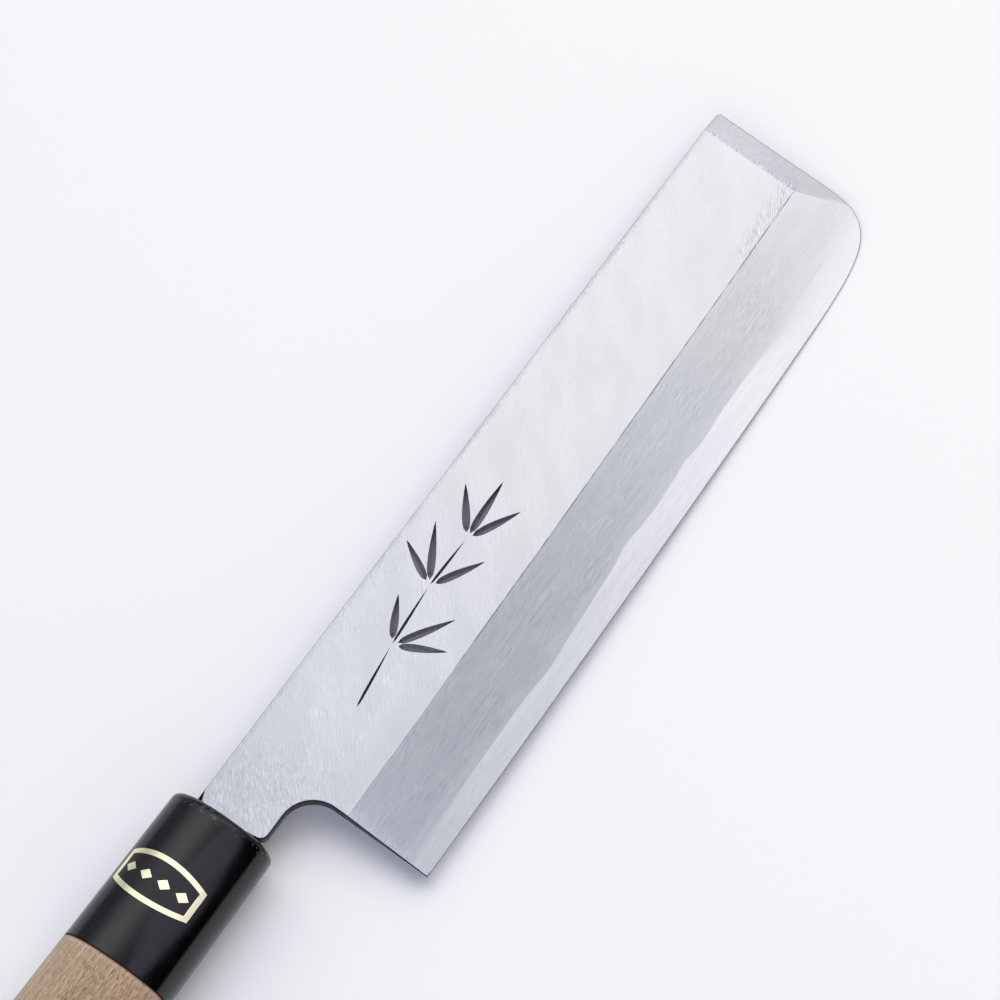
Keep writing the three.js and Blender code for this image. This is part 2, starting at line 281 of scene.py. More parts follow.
class Finish(Nodes):
    """A node material on the Principled shader, with its patterns in the knife's own frame."""

    def __init__(self, name, **constants):
        self.material = bpy.data.materials.new(name)
        self.material.use_nodes = True
        super().__init__(self.material.node_tree)
        self.shader = self.tree.nodes["Principled BSDF"]
        for socket, value in constants.items():
            self.shader.inputs[socket.replace("_", " ")].default_value = value

    def cells(self, size, turn):
        """Coordinates in cells of this size in mm, turned about Z by this many degrees."""
        mapping = self.add("ShaderNodeMapping", vector_type="TEXTURE")
        mapping.inputs["Location"].default_value = KNIFE_ORIGIN
        mapping.inputs["Rotation"].default_value = (0, 0, math.radians(turn))
        mapping.inputs["Scale"].default_value = Vector(size) * MM
        self.feed(mapping.inputs["Vector"], self.add("ShaderNodeTexCoord").outputs["Object"])
        return mapping.outputs["Vector"]

    def coordinate(self, axis):
        split = self.add("ShaderNodeSeparateXYZ")
        self.feed(split.inputs[0], self.cells((1, 1, 1), 0))
        return split.outputs[axis]

    def noise(self, size, detail=2.0, turn=0, roughness=0.5, warp=0.0):
        node = self.add("ShaderNodeTexNoise")
        self.feed(node.inputs["Vector"], self.cells(size, turn))
        node.inputs["Scale"].default_value = 1
        node.inputs["Detail"].default_value = detail
        node.inputs["Roughness"].default_value = roughness
        node.inputs["Distortion"].default_value = warp
        return node.outputs["Fac"]

    def marks(self, size, detail, turn=0):
        """Noise with more of its fine detail, as ground and forged marks have."""
        return self.noise(size, detail, turn, roughness=0.6)

    def measure(self, name):
        return self.add("ShaderNodeAttribute", attribute_name=name).outputs["Fac"]

    def near(self, distance, core, end):
        """1 within core of a line and 0 past end, from a signed distance."""
        return self.fade(self.math("ABSOLUTE", distance), core, end)

    def blend(self, share, a, b):
        """The number a where share is 0, and b where it is 1."""
        node = self.add("ShaderNodeMix", data_type="FLOAT")
        for socket, value in zip((node.inputs[0], *node.inputs[2:4]), (share, a, b)):
            self.feed(socket, value)
        return node.outputs[0]

    def mix(self, share, a, b, blend="MIX"):
        """The colour a where share is 0, and b where it is 1."""
        node = self.add("ShaderNodeMix", data_type="RGBA", blend_type=blend)
        self.feed(node.inputs["Factor"], share)
        for socket, colour in ((node.inputs[6], a), (node.inputs[7], b)):
            self.feed(socket, colour if isinstance(colour, bpy.types.NodeSocket) else (*colour, 1))
        return node.outputs[2]

    def base(self, share, dark, pale):
        """Starts the finish's colour."""
        self.colour = self.mix(share, dark, pale)

    def coat(self, share, tone):
        """Lays a tone over the colour."""
        self.colour = self.mix(share, self.colour, tone)

    def tint(self, share, factors):
        self.colour = self.mix(share, self.colour, factors, "MULTIPLY")

    def score(self, lines, where, *tones):
        """Lays dark cuts and pale glints, each from one side of a noise's range."""
        for tone, low, high in tones:
            self.coat(self.times(where, self.ramp(lines, low, high)), tone)

    def paint(self, roughness=None, relief=None, depth=0.0):
        """Feeds the shader the colour, and if given a roughness and a relief of this depth in mm."""
        self.feed(self.shader.inputs["Base Color"], self.colour)
        if roughness is not None:
            self.feed(self.shader.inputs["Roughness"], roughness)
        if relief is not None:
            bump = self.add("ShaderNodeBump")
            bump.inputs["Distance"].default_value = depth * MM
            self.feed(bump.inputs["Height"], relief)
            self.feed(self.shader.inputs["Normal"], bump.outputs[0])
        return self.material


# Places in the finishes are in mm: along the blade, or from the line that a comment names.
MARK_TURN = 41  # degrees, of the flat's grinding marks
MARK_CALM = (40, 120)  # they grow faint on this stretch of the blade
FLAT_WARM = (45, 110)  # the flat is a little warmer, and paler as a painted brighter reflection, past this stretch
NECK_SHADE = (4, 34)  # the neck is darker, up to here
NECK_ROUGH = (8, 30)  # and its rougher marks fade on this stretch
RIDGE_SHADE = (1, 8)  # the flat is darker this close to the ridge
RIDGE_SHADE_HEEL = (34, 54)  # near the heel, up to here
RIDGE_SHADE_TIP = (80, 100)  # and again from here to the tip
RIDGE_SHADE_TURN = (45, 90)  # in one tone before this stretch, and another past it
RIDGE_LINE = (0.04, 0.17)  # half widths of the thin line along the bevel's ridge
RIDGE_LINE_TURN = (38, 62)  # it is a painted highlight before this stretch and dark past it
SPINE_BAND = (0.25, 1.0)  # a frayed band along the spine, darker marks with painted shade of its rolled corner, fades out here
TIP_SCRATCHES = (150, 168)  # rough scratches beside the ridge begin and are full here
TIP_SCRATCH_REACH = (1.2, 4.6)  # how far from the ridge they go
SHOULDER_SHADOW = (2.6, 1.05)  # painted shadow: a black corner where the spine meets the shoulder


def ridge_line(look):
    """The line along the bevel's ridge: a broken painted highlight near the heel, dark towards the tip."""
    line = look.near(look.measure("from_ridge"), *RIDGE_LINE)
    broken = look.ramp(look.noise((3, 30, 30)), 0.36, 0.56, 0.5, 1.0)
    far = look.ramp(look.coordinate("X"), *RIDGE_LINE_TURN)
    share = look.times(look.times(line, broken), look.blend(far, 0.35, 0.8))
    # painted highlight along the ridge near the heel, turning to a dark line towards the tip
    look.coat(share, look.mix(far, (0.93, 0.94, 0.95), (0.1, 0.1, 0.12)))


def flat_finish():
    look = Finish("flat_ground_iron", Metallic=1.0)
    along = look.coordinate("X")
    from_ridge = look.measure("from_ridge")
    calm = look.ramp(along, *MARK_CALM, 0.0, 0.58)
    fine = look.blend(calm, look.marks((2, 0.26, 4), 2, MARK_TURN), 0.5)
    cloud = look.noise((17, 6, 9), 3, MARK_TURN)
    look.base(look.ramp(fine, 0.32, 0.68), (0.60, 0.608, 0.612), (0.705, 0.712, 0.71))
    look.coat(look.ramp(cloud, 0.36, 0.66, 0.0, 0.6), (0.59, 0.6, 0.605))
    # painted reflection: the flat grows paler towards the tip
    look.tint(look.ramp(along, *FLAT_WARM), (1.085, 1.06, 1.02))

    scratch = look.marks((2.8, 0.24, 6), 1, MARK_TURN)
    patches = look.blend(calm, look.ramp(look.noise((9, 6, 9)), 0.4, 0.62, 0.1, 0.5), 0.0)
    cut, glint = ((0.43, 0.44, 0.46), 0.6, 0.7), ((0.87, 0.875, 0.885), 0.4, 0.3)
    look.score(scratch, patches, cut, glint)

    look.coat(look.fade(along, *NECK_SHADE, 0.72), (0.48, 0.5, 0.51))
    nicks = look.noise((1.1, 0.18, 3), 2, MARK_TURN)
    cut, glint = ((0.37, 0.385, 0.4), 0.53, 0.65), ((0.77, 0.785, 0.79), 0.46, 0.33)
    look.score(nicks, look.fade(along, *NECK_ROUGH, 0.52), cut, glint)

    ends = look.math("MAXIMUM", look.fade(along, *RIDGE_SHADE_HEEL), look.ramp(along, *RIDGE_SHADE_TIP))
    shade = look.mix(look.ramp(along, *RIDGE_SHADE_TURN), (0.53, 0.545, 0.555), (0.655, 0.66, 0.65))
    look.coat(look.times(look.fade(from_ridge, *RIDGE_SHADE, 0.5), ends), shade)

    # painted shade of the spine's rolled corner, with darker marks, as a frayed band
    below_spine = look.minus(SPINE_Y, look.coordinate("Y"))
    speckle = look.noise((0.9, 0.3, 4), 2, MARK_TURN)
    frayed = look.minus(below_spine, look.ramp(speckle, 0.3, 0.7, -0.4, 0.6))
    worn = look.ramp(look.noise((18, 18, 18)), 0.35, 0.6, 0.25, 0.65)
    look.coat(look.times(look.fade(frayed, *SPINE_BAND), worn), (0.44, 0.447, 0.455))

    hatch = look.noise((2, 0.2, 4), 1, MARK_TURN)
    beside = look.times(look.ramp(along, *TIP_SCRATCHES), look.fade(from_ridge, *TIP_SCRATCH_REACH, 0.8))
    cut, glint = ((0.43, 0.435, 0.44), 0.49, 0.6), ((0.84, 0.84, 0.85), 0.36, 0.28)
    look.score(hatch, beside, cut, glint)

    # painted shadow in the corner where the spine meets the shoulder
    past_shoulder = look.math("DIVIDE", look.minus(along, SHOULDER_GAP), SHOULDER_SHADOW[0])
    shoulder_shadow = look.plus(past_shoulder, look.math("DIVIDE", below_spine, SHOULDER_SHADOW[1]))
    look.coat(look.fade(shoulder_shadow, 0.85, 1.05), (0.008, 0.008, 0.01))
    ridge_line(look)
    return look.paint(look.ramp(fine, 0.2, 0.8, 0.36, 0.46), fine, 0.004)


EDGE_SHADOW_LINE = (0.08, 0.22)  # half widths of the painted shadow along the cutting edge and the tip: its contact shadow and its micro-bevel's shade
HEEL_RUB = (0.3, 2.4)  # the bevel is rubbed pale this close to the heel
BEVEL_CALM = (145, 172)  # its marks grow fainter on this stretch
BEVEL_WARM = (80, 160)  # it grows warmer, and paler as painted reflection, on this one
BEVEL_BRIGHT = (145, 180)  # and brighter at the tip, as painted reflection
BEVEL_DIM = (60, 115)  # painted shade: it is a little dimmer before this stretch
STEEL_CLOUD = (0.3, 2.4)  # the bevel is paler and cloudy this close to the steel's line
STEEL_CLOUD_END = (62, 96)  # and less so past this stretch


def paint_edge_shadow(look):
    # painted shadow: the contact shadow and micro-bevel shade along the cutting edge and the tip
    look.coat(look.fade(look.measure("from_cut"), *EDGE_SHADOW_LINE, 0.75), (0.16, 0.16, 0.18))


def bevel_finish():
    look = Finish("stone_ground_bevel", Metallic=1.0)
    along = look.coordinate("X")
    streaks = look.marks((14, 0.32, 5), 3)
    short = look.marks((2.8, 0.26, 5), 2, turn=8)
    bands = look.noise((120, 2.6, 5))
    mist = look.noise((9, 4, 5), 3)
    patches = look.ramp(look.noise((13, 5, 9)), 0.4, 0.62, 0.5, 1.0)
    shown = look.times(patches, look.ramp(along, *BEVEL_CALM, 1.0, 0.4))
    both = look.blend(shown, 0.5, look.blend(0.6, streaks, short))
    look.base(look.ramp(both, 0.33, 0.67), (0.485, 0.507, 0.53), (0.735, 0.75, 0.763))
    look.coat(look.ramp(bands, 0.35, 0.7, 0.0, 0.4), (0.55, 0.57, 0.592))
    look.coat(look.ramp(mist, 0.4, 0.75, 0.0, 0.3), (0.69, 0.702, 0.71))

    rubbed = look.minus(look.measure("from_heel"), look.ramp(mist, 0.3, 0.7, -0.5, 1.1))
    rub = look.fade(rubbed, *HEEL_RUB, 0.8)
    look.coat(rub, (0.73, 0.755, 0.765))
    look.coat(look.times(rub, look.ramp(short, 0.56, 0.66)), (0.30, 0.32, 0.34))

    ragged = look.minus(look.measure("from_steel"), look.ramp(mist, 0.3, 0.7, -0.5, 0.9))
    cloudy = look.ramp(along, *STEEL_CLOUD_END, 0.45, 0.32)
    look.coat(look.fade(ragged, *STEEL_CLOUD, cloudy), (0.76, 0.77, 0.79))
    # painted reflection and shade: the bevel is paler towards the tip and dimmer towards the heel
    look.tint(look.ramp(along, *BEVEL_WARM), (1.14, 1.11, 1.03))
    look.tint(look.ramp(along, *BEVEL_BRIGHT), (1.12, 1.12, 1.11))
    look.tint(look.fade(along, *BEVEL_DIM), (0.925, 0.92, 0.915))
    ridge_line(look)
    paint_edge_shadow(look)
    return look.paint(look.ramp(both, 0.2, 0.8, 0.38, 0.48), both, 0.003)


STEEL_WARM = (60, 110)  # the steel is a little warmer past this stretch
STEEL_DULL = (130, 160)  # duller past this one
STEEL_DIM = (14, 45)  # and dimmer before this one
STEEL_FADE = (2, 0.25, 5)  # its line is this soft at the heel, the middle and the tip
STEEL_FADE_HEEL = (14, 44)  # the softness changes on these stretches
STEEL_FADE_TIP = (135, 165)


def edge_finish():
    look = Finish("polished_edge_steel", Metallic=1.0)
    along = look.coordinate("X")
    both = look.blend(0.5, look.marks((16, 0.3, 5), 3), look.marks((3, 0.28, 5), 2, turn=6))
    cloud = look.noise((16, 3, 5))
    look.base(look.ramp(both, 0.33, 0.67), (0.82, 0.83, 0.816), (0.93, 0.94, 0.922))
    look.coat(look.ramp(cloud, 0.4, 0.7, 0.0, 0.3), (0.79, 0.80, 0.795))
    look.tint(look.ramp(along, *STEEL_WARM), (1.045, 1.02, 1.01))
    look.tint(look.ramp(along, *STEEL_DULL), (0.94, 0.945, 0.915))
    look.tint(look.fade(along, *STEEL_DIM), (0.96, 0.96, 0.94))

    into_steel = look.times(look.measure("from_steel"), -1)
    tip_end = look.ramp(along, *STEEL_FADE_TIP)
    softness = look.blend(tip_end, look.ramp(along, *STEEL_FADE_HEEL, *STEEL_FADE[:2]), STEEL_FADE[2])
    line = look.fade(into_steel, 0.0, softness, look.blend(tip_end, 0.7, 0.95))
    look.coat(line, look.mix(tip_end, (0.62, 0.635, 0.65), (0.785, 0.785, 0.76)))
    paint_edge_shadow(look)
    return look.paint(look.ramp(both, 0.2, 0.8, 0.3, 0.4), both, 0.002)


TIP_SHADE = (2, 16)  # the tip bevel is darker this close to the ridge
TIP_BORDER = (0.1, 1.2)  # its inner border is scratched this far
TIP_BORDER_END = (-0.8, 0.2)  # down to the ridge
TIP_FADE = (0.03, 0.2)  # painted reflection: it pales by how little it lies under the main bevel's plane
TIP_FADE_START = (178.6, 180.4)  # from here to the end


def tip_finish():
    look = Finish("tip_bevel_iron", Metallic=1.0)
    from_ridge = look.measure("from_ridge")
    marks = look.marks((2, 0.4, 3), 3, turn=-20)
    cloud = look.noise((4, 5, 5))
    look.base(look.ramp(marks, 0.3, 0.7), (0.555, 0.56, 0.56), (0.68, 0.685, 0.68))
    look.coat(look.ramp(cloud, 0.35, 0.7, 0.0, 0.35), (0.53, 0.535, 0.54))
    look.tint(look.fade(from_ridge, *TIP_SHADE), (0.94, 0.93, 0.925))

    hatch = look.noise((1.5, 0.26, 3), 1, turn=14)
    uneven = look.ramp(look.noise((9, 3.5, 9)), 0.35, 0.65, 0.45, -0.4)
    border = look.fade(look.plus(look.measure("into_tip"), uneven), *TIP_BORDER, 0.85)
    border = look.times(border, look.ramp(from_ridge, *TIP_BORDER_END))
    cut, glint = ((0.42, 0.425, 0.43), 0.5, 0.62), ((0.80, 0.805, 0.80), 0.48, 0.36)
    look.score(hatch, border, cut, glint)

    # painted reflection that softens the crease to the main bevel
    pale = look.fade(look.measure("under_bevel"), *TIP_FADE, 0.8)
    pale = look.times(pale, look.ramp(look.coordinate("X"), *TIP_FADE_START))
    look.coat(pale, (0.69, 0.69, 0.69))
    paint_edge_shadow(look)
    return look.paint(look.ramp(marks, 0.2, 0.8, 0.36, 0.48), marks, 0.004)


WALL_LINE = (0.1, 0.6)  # half widths of a painted reflection, a paler line halfway between the front and the back
WALL_LINE_RUN = (4, 11)  # it is plain on the neck and grows faint on this stretch


def rim_finish():
    """The black walls; over the neck's and heel's eased rims this black is painted shade."""
    look = Finish("black_wall_rim_shade", Metallic=1.0)
    mottle = look.marks((1.2, 1.2, 0.5), 4)
    look.base(mottle, (0.02, 0.02, 0.023), (0.045, 0.046, 0.05))
    neck = look.ramp(look.coordinate("X"), *WALL_LINE_RUN, 1.0, 0.3)
    # painted reflection of the table along the walls' middle
    middle = look.times(look.near(look.coordinate("Z"), *WALL_LINE), neck)
    look.coat(middle, (0.12, 0.122, 0.13))
    return look.paint(look.ramp(mottle, 0.3, 0.7, 0.4, 0.6), mottle, 0.01)


def back_finish():
    look = Finish("hollow_ground_back", Metallic=1.0)
    marks = look.marks((9, 0.3, 5), 3, turn=88)
    cloud = look.ramp(look.noise((12, 9, 5)), 0.3, 0.7, 0.0, 0.3)
    look.base(marks, (0.58, 0.59, 0.61), (0.74, 0.75, 0.765))
    look.coat(cloud, (0.6, 0.61, 0.64))
    return look.paint(look.ramp(marks, 0.2, 0.8, 0.3, 0.42), marks, 0.004)


def chisel_finish():
    look = Finish("chisel_cut", Metallic=1.0)
    burr = look.noise((0.5, 0.5, 0.5), 3)
    look.base(burr, (0.1, 0.1, 0.115), (0.22, 0.22, 0.24))
    return look.paint(look.ramp(burr, 0.3, 0.7, 0.35, 0.5))


FLECKS = 1.3  # brown flecks show about this far behind the ferrule's front
FLECK_BAND = (0.7, 1.6)  # half widths of their band
RUBS = (-34, -22)  # fine pale rubs show near the wood, and fade here


def horn_finish():
    look = Finish("polished_black_horn", IOR=1.43)
    along = look.coordinate("X")
    cloud = look.noise((9, 2.2, 2.2), 4, roughness=0.55, warp=0.6)
    look.base(look.ramp(cloud, 0.45, 0.8), (0.0005, 0.0005, 0.0008), (0.002, 0.0019, 0.0021))
    rubs = look.ramp(look.noise((5, 0.35, 0.35), 2, turn=4), 0.6, 0.75)
    rubbed = look.times(rubs, look.ramp(along, *RUBS, 0.6, 0.1))
    look.coat(rubbed, (0.022, 0.022, 0.026))
    spots = look.ramp(look.noise((0.7, 1.1, 1.1)), 0.57, 0.69)
    front = look.near(look.plus(along, FLECKS), *FLECK_BAND)
    look.coat(look.times(spots, front), (0.06, 0.053, 0.048))
    worn = look.noise((7, 4, 4), 3, turn=10)
    scuffs = look.ramp(look.noise((3, 0.35, 0.35), 2, turn=60), 0.6, 0.75, 0.0, 0.1)
    return look.paint(look.plus(look.ramp(worn, 0.3, 0.75, 0.16, 0.21), scuffs), cloud, 0.004)


GLUE_STAIN = 0.45  # width of the dark glue line on the wood
PALE_RIM = 0.85  # a paler line runs this far behind it
PALE_RIM_LINE = (0.1, 0.3)  # and has these half widths
DARKER_SIDE = (7, -7)  # the wood darkens towards the heel's side, between these heights
CALM_SIDE = (11, 2, 0.3, 1.0)  # and has few pores on the spine's side


def wood_finish():
    look = Finish("magnolia_wood")
    across = look.coordinate("Y")
    fibre = look.noise((8, 0.36, 0.36), 4, roughness=0.65)
    year = look.noise((70, 3.2, 3.2), turn=2, warp=0.4)
    fleck = look.noise((1.1, 0.14, 0.14), 1, turn=1.5)
    pores = look.times(look.ramp(fleck, 0.51, 0.66), look.ramp(across, *CALM_SIDE))
    look.base(look.ramp(fibre, 0.3, 0.7), (0.31, 0.218, 0.139), (0.595, 0.448, 0.306))
    look.coat(look.ramp(year, 0.35, 0.65, 0.0, 0.4), (0.39, 0.275, 0.178))
    look.coat(look.times(pores, 0.75), (0.13, 0.083, 0.048))
    look.coat(look.ramp(fleck, 0.43, 0.32, 0.0, 0.65), (0.67, 0.52, 0.36))
    look.tint(look.ramp(across, *DARKER_SIDE), (0.92, 0.86, 0.79))
    depth = look.plus(look.coordinate("X"), FERRULE_LENGTH + GLUE_GAP)
    rim = look.near(look.plus(depth, PALE_RIM), *PALE_RIM_LINE)
    look.coat(look.times(rim, 0.3), (0.60, 0.44, 0.32))
    stain = look.near(depth, GLUE_STAIN / 2, GLUE_STAIN)
    look.coat(stain, (0.06, 0.022, 0.015))
    return look.paint(look.ramp(fibre, 0.3, 0.7, 0.55, 0.68), look.minus(fibre, pores), 0.02)


def end_grain_finish():
    look = Finish("magnolia_end_grain", Roughness=0.75)
    rings = look.noise((5, 8, 1.1), 3, warp=0.5)
    pores = look.ramp(look.noise((0.3, 0.3, 0.3)), 0.58, 0.7)
    look.base(rings, (0.26, 0.185, 0.13), (0.40, 0.30, 0.21))
    look.coat(look.times(pores, 0.5), (0.12, 0.08, 0.055))
    return look.paint(relief=pores, depth=-0.02)


def resin_finish():
    look = Finish("bedding_resin", Roughness=0.45)
    cloud = look.noise((2, 2, 2), 3)
    look.base(cloud, (0.025, 0.014, 0.009), (0.05, 0.03, 0.018))
    return look.paint()


def gold_finish():
    look = Finish("gold_foil", Metallic=1.0)
    crinkle = look.noise((1.6, 0.7, 0.7), 3)
    look.base(crinkle, (0.89, 0.835, 0.5), (0.98, 0.95, 0.64))
    return look.paint(look.ramp(crinkle, 0.3, 0.7, 0.3, 0.42), crinkle, 0.004)


def field_finish():
    look = Finish("black_foil", IOR=1.42)
    speckle = look.noise((0.3, 0.3, 0.3))
    look.base(speckle, (0.002, 0.002, 0.003), (0.007, 0.007, 0.01))
    return look.paint(look.ramp(speckle, 0.3, 0.7, 0.3, 0.42))


# Meshes


def make_piece(name, node, points, faces, zones, finishes, sharp=HANDLE_SHARP):
    """A closed piece that stands for a node. zones gives each face's place in the list of finishes."""
    mesh = bpy.data.meshes.new(name)
    mesh.from_pydata([place(point) for point in points], [], faces)
    for finish in finishes:
        mesh.materials.append(finish)
    mesh.polygons.foreach_set("material_index", zones)
    shell = bmesh.new()
    shell.from_mesh(mesh)
    bmesh.ops.remove_doubles(shell, verts=shell.verts, dist=WELD)
    bmesh.ops.recalc_face_normals(shell, faces=shell.faces)
    shell.to_mesh(mesh)
    shell.free()
    mesh.shade_smooth()
    mesh.set_sharp_from_angle(angle=sharp)
    piece = add_object(name, mesh)
    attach(piece, "root")
    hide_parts(node)
    return piece


def note(piece, name, measure):
    """Writes a measure of each vertex, from its place in the knife's frame, for the finishes to read."""
    layer = piece.data.attributes.new(name, "FLOAT", "POINT")
    places = [(vertex.co - KNIFE_ORIGIN) / MM for vertex in piece.data.vertices]
    layer.data.foreach_set("value", [measure(point.x, point.y) for point in places])


# Blade


def edge_y(x):
    along = max(0, (x - HEEL_X) / (ROUND_X - HEEL_X))
    return SPINE_Y - HEEL_HEIGHT + EDGE_RISE * along**EDGE_CURVE


def ridge_y(x):
    return edge_y(x) + BEVEL_WIDTH


def thickness(x):
    return lerp(SHOULDER_THICKNESS, TIP_THICKNESS, (x - SHOULDER_GAP) / BLADE_LENGTH)


def bevel_slope(x):
    return (thickness(x) - EDGE_THICKNESS) / BEVEL_WIDTH


def heel_x(y):
    return HEEL_X + math.tan(HEEL_LEAN) * (y - edge_y(HEEL_X))


def tip_x(y):
    return TIP_X - math.tan(TIP_LEAN) * (SPINE_Y - y)


def on_edge(x):
    return Vector((x, edge_y(x)))


def on_tip(y):
    return Vector((tip_x(y), y))


def into_tip(x, y):
    """How far a point lies past the inner line of the tip's bevel."""
    start = TIP_X - TIP_BEVEL_WIDTH
    return (x - start) * math.cos(TIP_LEAN) + (SPINE_Y - y) * math.sin(TIP_LEAN)


def flat_z(x):
    return BACK_Z + thickness(x)


def bevel_z(x, y):
    return BACK_Z + EDGE_THICKNESS + (y - edge_y(x)) * bevel_slope(x)


def tip_bevel_z(x, y):
    return flat_z(TIP_X - TIP_BEVEL_WIDTH) - math.tan(TIP_BEVEL_ANGLE) * into_tip(x, y)


def steel_line(x):
    height = lerp(STEEL_LINE_HEEL, STEEL_LINE_TIP, smoothstep(x, *STEEL_LINE_CLIMB))
    for middle, rise, reach in STEEL_LAPS:
        height += rise * (1 - smoothstep(abs(x - middle), 0, reach))
    return height


def layer_z(x):
    return BACK_Z + EDGE_THICKNESS + steel_line(x) * bevel_slope(x)


def tang_half(sizes, x):
    return lerp(*sizes, -x / TANG_LENGTH) / 2


def front_z(x, y):
    if x < SHOULDER_GAP:
        return tang_half(TANG_THICKNESSES, x)
    return min(flat_z(x), bevel_z(x, y), tip_bevel_z(x, y))


def back_z(x, y):
    if x < SHOULDER_GAP:
        return -tang_half(TANG_THICKNESSES, x)
    low = edge_y(x) + HOLLOW_EDGE_RIM
    high = SPINE_Y - HOLLOW_SPINE_RIM
    across = min(1, max(-1, 2 * (y - low) / (high - low) - 1))
    start = HEEL_X + HOLLOW_ENDS[0]
    end = TIP_X - HOLLOW_ENDS[1]
    deepening = smoothstep(x, start, start + HOLLOW_RUN_OUT)
    fading = smoothstep(x, end - HOLLOW_RUN_OUT, end)
    return BACK_Z + HOLLOW_DEPTH * deepening * (1 - fading) * (1 - across**2)


def stations(first, last, step):
    count = max(1, math.ceil(abs(last - first) / step))
    return [lerp(first, last, i / count) for i in range(count + 1)]


def arc(centre, radius, start, end):
    """Points on a round corner, between two directions that are given in quarter turns."""
    turns = [lerp(start, end, i / ARC_STEPS) * math.pi / 2 for i in range(ARC_STEPS + 1)]
    return [Vector(centre) + radius * heading(turn) for turn in turns]


def neck_line():
    """The eased run from the tang down the shoulder, along the neck and finger curve, to the heel."""
    choil_y = NECK_Y - CHOIL_RADIUS
    line = [Vector((SHOULDER_GAP, -tang_half(TANG_HEIGHTS, 0)))]
    line += arc((SHOULDER_GAP + NECK_CORNER, NECK_Y + NECK_CORNER), NECK_CORNER, 2, 3)
    line += arc((heel_x(choil_y) - CHOIL_RADIUS, choil_y), CHOIL_RADIUS, 1, 0)
    line += [Vector((heel_x(y), y)) for y in stations(choil_y, edge_y(HEEL_X), STATION)[1:]]
    return line


def edge_line():
    """The cutting edge from the heel, and the tip's round up to the tip line."""
    line = [on_edge(x) for x in stations(HEEL_X, ROUND_X, STATION)[1:]]
    round_y = SPINE_Y - TIP_ROUND_HEIGHT
    start, end = on_edge(ROUND_X), on_tip(round_y)
    pulls = on_edge(ROUND_X + TIP_ROUND_PULL[0]), on_tip(round_y - TIP_ROUND_PULL[1])
    return line + interpolate_bezier(start, *pulls, end, ROUND_STEPS)[1:]


def spine_line():
    """The spine from the tip's eased corner home to the shoulder."""
    spine = stations(TIP_X - TIP_CORNER, SHOULDER_GAP, STATION)
    return [on_tip(SPINE_Y - TIP_CORNER)] + [Vector((x, SPINE_Y)) for x in spine]


def tang_line():
    top = tang_half(TANG_HEIGHTS, 0)
    end = tang_half(TANG_HEIGHTS, -TANG_LENGTH)
    shoulder = SHOULDER_GAP - TANG_STEP
    line = [(SHOULDER_GAP, top), (shoulder, top), (-TANG_LENGTH, end)]
    line += [(-TANG_LENGTH, -end), (shoulder, -top)]
    return [Vector(point) for point in line]


def distance_to(line, x, y):
    """Distance of a point from an open line of points."""
    point = Vector((x, y))
    best = math.inf
    for start, end in zip(line, line[1:]):
        run = end - start
        share = min(1, max(0, (point - start).dot(run) / run.length_squared))
        best = min(best, (point - start - run * share).length)
    return best


def from_cut(cutting, x, y):
    """Distance from the cutting edge, counted in full only close to it."""
    height = y - edge_y(x)
    return distance_to(cutting, x, y) if height < GRID or x > ROUND_X else height


def rim_drop(lines, x, y):
    """How far the front or the back falls off towards an eased rim."""
    if x < SHOULDER_GAP:
        return 0
    gap = min(distance_to(line, x, y) for line in lines)
    inside = max(0, RIM_RADIUS - gap)
    drop = RIM_RADIUS - math.sqrt(RIM_RADIUS**2 - inside**2)
    return min(drop, RIM_SHARE * (front_z(x, y) - back_z(x, y)))


def inset(line, distance):
    """A line beside another, on its left, with its ends drawn in by the same distance."""
    beside = []
    for i, point in enumerate(line):
        run = line[min(i + 1, len(line) - 1)] - line[max(i - 1, 0)]
        side = Vector((-run.y, run.x)).normalized()
        beside.append(point + side * distance)
    beside[0] += (line[1] - line[0]).normalized() * distance
    beside[-1] += (line[-2] - line[-1]).normalized() * distance
    return beside


class Plan:
    """A flat layout of points and lines from which the blade's faces are triangulated."""

    def __init__(self):
        self.points = []
        self.edges = []
        self.depths = {}

    def line(self, points, closed=False, depth=0):
        first = len(self.points)
        self.points += points
        last = len(self.points) - 1
        self.edges += [(i, i + 1) for i in range(first, last)]
        if closed:
            self.edges.append((last, first))
        self.depths.update((i, depth) for i in range(first, last + 1))

    def fill(self, points, clearance):
        """Adds loose points, apart from those close to what is there."""
        tree = kdtree.KDTree(len(self.points))
        for i, point in enumerate(self.points):
            tree.insert(point.to_3d(), i)
        tree.balance()
        self.points += [p for p in points if tree.find(p.to_3d())[2] > clearance]

    def triangulate(self):
        points, _, triangles, origins, _, _ = delaunay_2d_cdt(self.points, self.edges, [], 1, WELD)
        depths = [max((self.depths.get(i, 0) for i in origin), default=0) for origin in origins]
        return points, triangles, depths


def stroke(root, tip, width):
    """Outline of one chisel stroke, full near its root and fine at its tip, and its deepest line."""
    run = tip - root
    side = Vector((-run.y, run.x)).normalized()
    left, right, floor = [], [], []
    for i in range(1, STROKE_STEPS):
        share = i / STROKE_STEPS
        half = width / 2 * math.sin(math.pi * share ** STROKE_SHAPE[0]) ** STROKE_SHAPE[1]
        left.append(root + run * share + side * half)
        right.append(root + run * share - side * half)
        floor.append(root + run * share)
    return [root, *right, tip, *reversed(left)], floor


def sprig_strokes():
    joints = [Vector(SPRIG_PLACE) + Vector(joint) for joint in STEM_JOINTS]
    for start, end in zip(joints, joints[1:]):
        space = (end - start).normalized() * STEM_SPACE / 2
        yield stroke(start + space, end - space, STEM_WIDTH)
    for joint, leaves in LEAF_FANS:
        for turn, length in leaves:
            run = heading(math.radians(turn))
            root = joints[joint] + run * LEAF_START
            yield stroke(root, root + run * length, LEAF_WIDTH)


